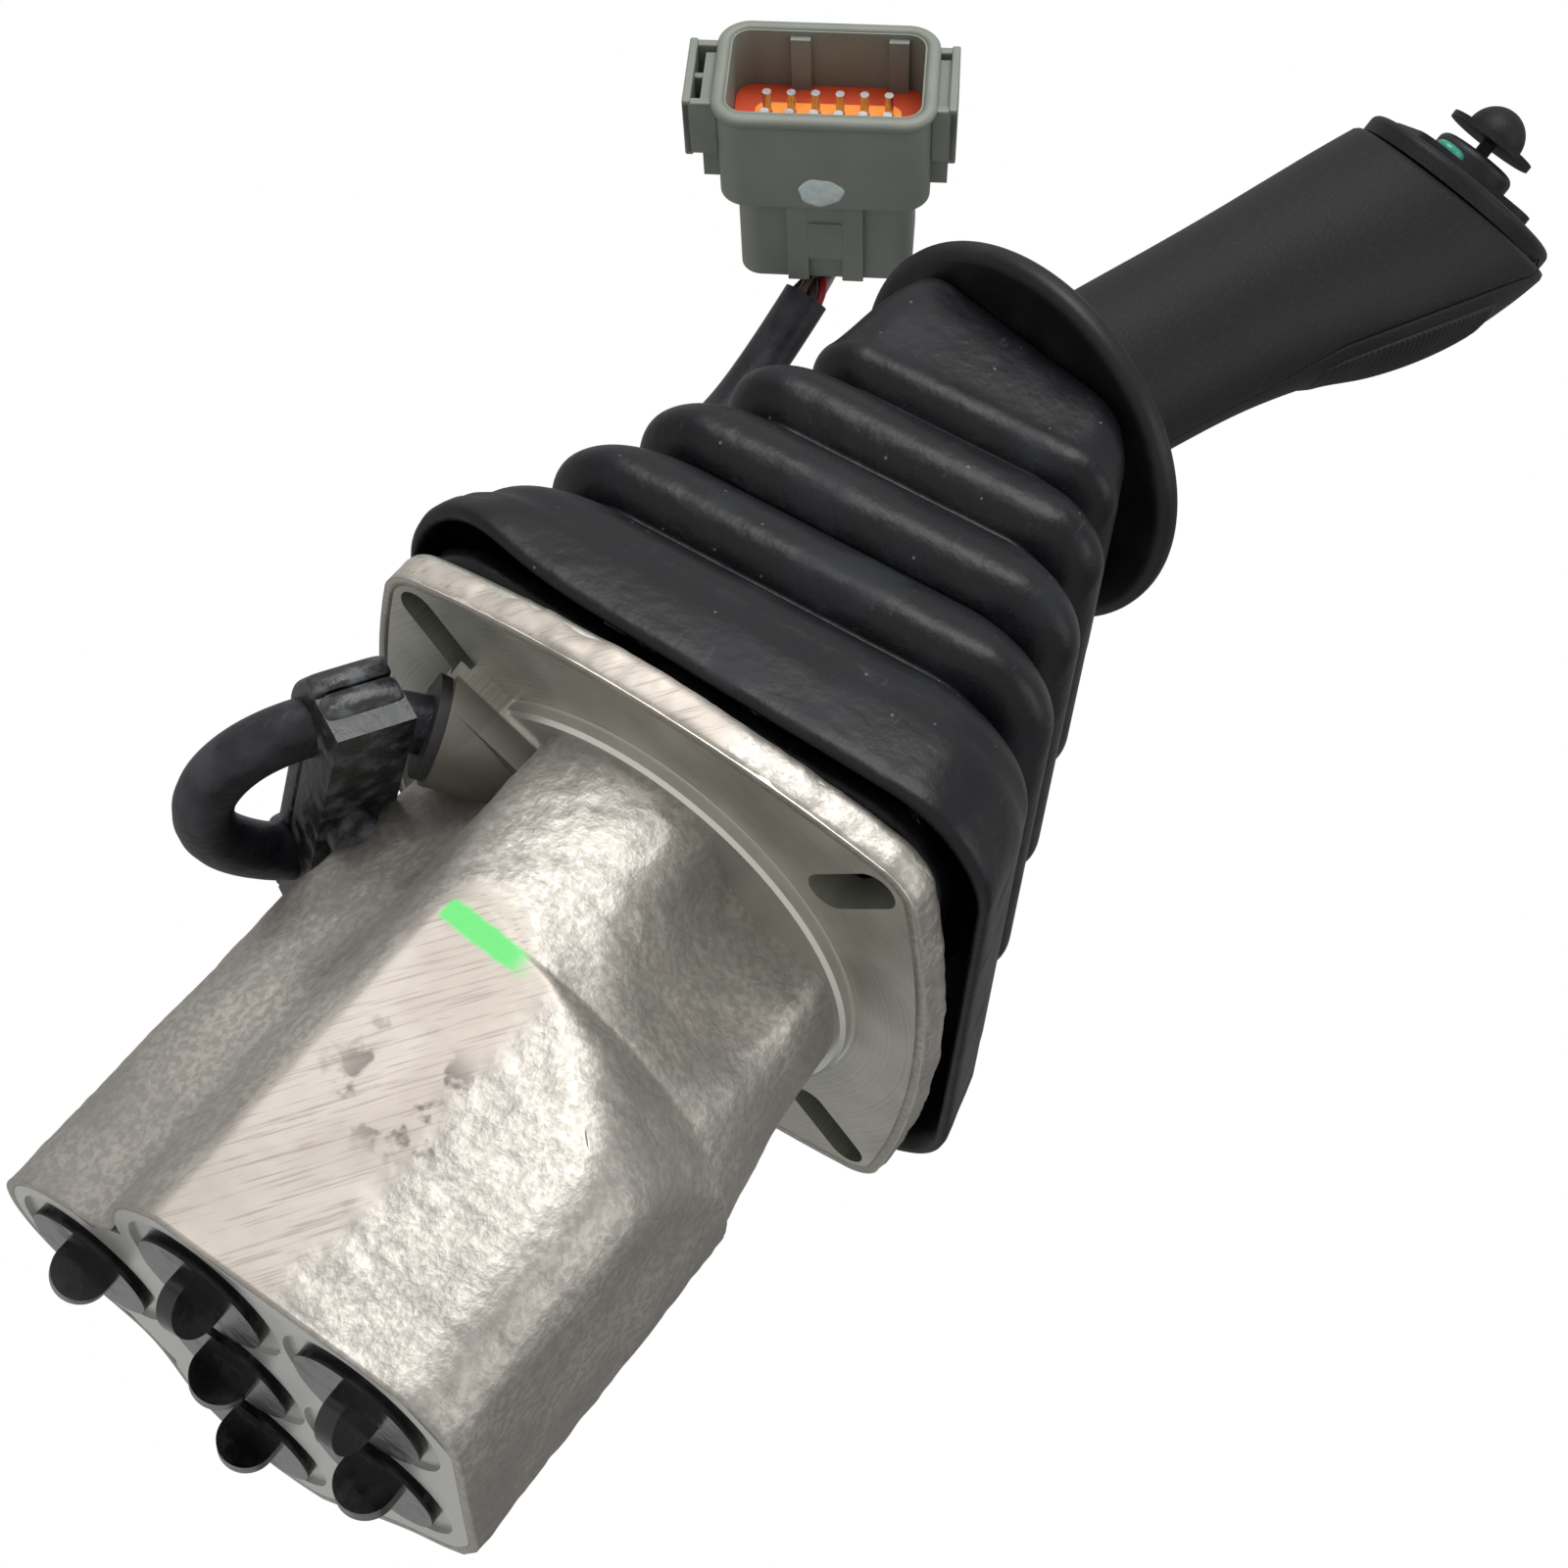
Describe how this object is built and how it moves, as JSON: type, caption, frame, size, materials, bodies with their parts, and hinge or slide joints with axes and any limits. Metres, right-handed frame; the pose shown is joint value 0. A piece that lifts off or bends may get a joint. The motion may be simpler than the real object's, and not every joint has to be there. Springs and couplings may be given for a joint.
{
  "type": "hydraulic pilot joystick valve",
  "caption": "Cast pilot valve block with a slotted square flange, a pleated rubber boot and a tilting hand grip, with a cable and a sealed connector.",
  "frame": {"origin": "centre of the register spigot on the machined underside of the mounting flange", "axes": "+Z along the valve axis towards the grip; X and Y along the sides of the flange, with the tank port at +X, -Y"},
  "size_m": [0.1427, 0.099, 0.3297],
  "materials": {
    "cast_body": "rough zinc-plated casting with machined faces",
    "bright_steel": "ground",
    "spring_steel": "drawn wire",
    "bronze": "machined",
    "black_rubber": "moulded, matt",
    "black_plastic": "fine grain",
    "plug_plastic": "moulded",
    "cable_jacket": "smooth",
    "wire_insulation": "smooth",
    "grey_plastic": "moulded",
    "red_seal": "silicone",
    "orange_plastic": "moulded",
    "green_plastic": "moulded"
  },
  "bodies": {
    "base": {"valve_body": "cast_body", "wiper_seals": "black_rubber", "retaining_plate": "bright_steel", "joint_base_fork": "bright_steel", "rubber_boot": "black_rubber", "cable": "cable_jacket", "cable_grommet": "black_rubber", "cable_clip_base": "black_plastic", "cable_clip_strap": "black_plastic", "cable_clip_screw": "bright_steel", "cable_wires": "wire_insulation", "connector_housing": "grey_plastic", "connector_face_seal": "red_seal", "connector_wedge_lock": "orange_plastic", "connector_contacts": "bronze", "connector_rear_seal": "red_seal", "plunger_guide_1": "bronze", "return_spring_1": "spring_steel", "plunger_guide_2": "bronze", "return_spring_2": "spring_steel", "plunger_guide_3": "bronze", "return_spring_3": "spring_steel", "plunger_guide_4": "bronze", "return_spring_4": "spring_steel", "port_plug_p1": "plug_plastic", "port_plug_p2": "plug_plastic", "port_plug_p3": "plug_plastic", "port_plug_p4": "plug_plastic", "port_plug_p5": "plug_plastic", "port_plug_p6": "plug_plastic"},
    "gimbal": {"joint_cross": "bright_steel"},
    "lever": {"swash_plate": "bright_steel", "lever_rod": "bright_steel", "lever_lock_nut": "bright_steel", "hand_guard_disc": "black_plastic", "grip_core": "bright_steel", "grip_shell": "black_plastic", "grip_rear_cover": "black_plastic", "grip_ribbed_insert": "black_rubber", "grip_screws": "bright_steel", "grip_top_plate": "black_plastic", "switch_base": "black_plastic"},
    "thumb_control": {"thumb_stem": "bright_steel", "thumb_cap": "black_plastic"},
    "button": {"grip_button": "green_plastic"},
    "plunger_unit_1": {"plunger_1": "bright_steel", "metering_spool_1": "bright_steel", "control_spring_1": "spring_steel"},
    "plunger_unit_2": {"plunger_2": "bright_steel", "metering_spool_2": "bright_steel", "control_spring_2": "spring_steel"},
    "plunger_unit_3": {"plunger_3": "bright_steel", "metering_spool_3": "bright_steel", "control_spring_3": "spring_steel"},
    "plunger_unit_4": {"plunger_4": "bright_steel", "metering_spool_4": "bright_steel", "control_spring_4": "spring_steel"}
  },
  "joints": [
    {"name": "tilt_about_x", "type": "hinge", "parent": "base", "child": "gimbal", "pos_m": [0, 0, 0.019], "axis": [1, 0, 0], "range_deg": [-15, 15], "stiffness_Nm_per_rad": 6, "deforming": ["rubber_boot"]},
    {"name": "tilt_about_y", "type": "hinge", "parent": "gimbal", "child": "lever", "pos_m": [0, 0, 0.019], "axis": [0, 1, 0], "range_deg": [-15, 15], "stiffness_Nm_per_rad": 6, "deforming": ["rubber_boot"]},
    {"name": "plunger_slide_1", "type": "slide", "parent": "base", "child": "plunger_unit_1", "axis": [0, 0, 1], "range_m": [-0.0068, 0.0068], "deforming": ["return_spring_1"]},
    {"name": "plunger_slide_2", "type": "slide", "parent": "base", "child": "plunger_unit_2", "axis": [0, 0, 1], "range_m": [-0.0068, 0.0068], "deforming": ["return_spring_2"]},
    {"name": "plunger_slide_3", "type": "slide", "parent": "base", "child": "plunger_unit_3", "axis": [0, 0, 1], "range_m": [-0.0068, 0.0068], "deforming": ["return_spring_3"]},
    {"name": "plunger_slide_4", "type": "slide", "parent": "base", "child": "plunger_unit_4", "axis": [0, 0, 1], "range_m": [-0.0068, 0.0068], "deforming": ["return_spring_4"]},
    {"name": "thumb_rock", "type": "hinge", "parent": "lever", "child": "thumb_control", "pos_m": [0.02584, 0.0076, 0.2192], "axis": [-0.4904, 0.6021, 0.6301], "range_deg": [-12, 12], "stiffness_Nm_per_rad": 0.05},
    {"name": "button_press", "type": "slide", "parent": "lever", "child": "button", "axis": [-0.1781, 0.6385, -0.7487], "range_m": [0, 0.0015], "stiffness_N_per_m": 400}
  ],
  "couplings": [
    {"joint": "plunger_slide_1", "follows": "tilt_about_y", "m_per_rad": 0.02579},
    {"joint": "plunger_slide_2", "follows": "tilt_about_x", "m_per_rad": -0.02579},
    {"joint": "plunger_slide_3", "follows": "tilt_about_y", "m_per_rad": -0.02579},
    {"joint": "plunger_slide_4", "follows": "tilt_about_x", "m_per_rad": 0.02579}
  ]
}
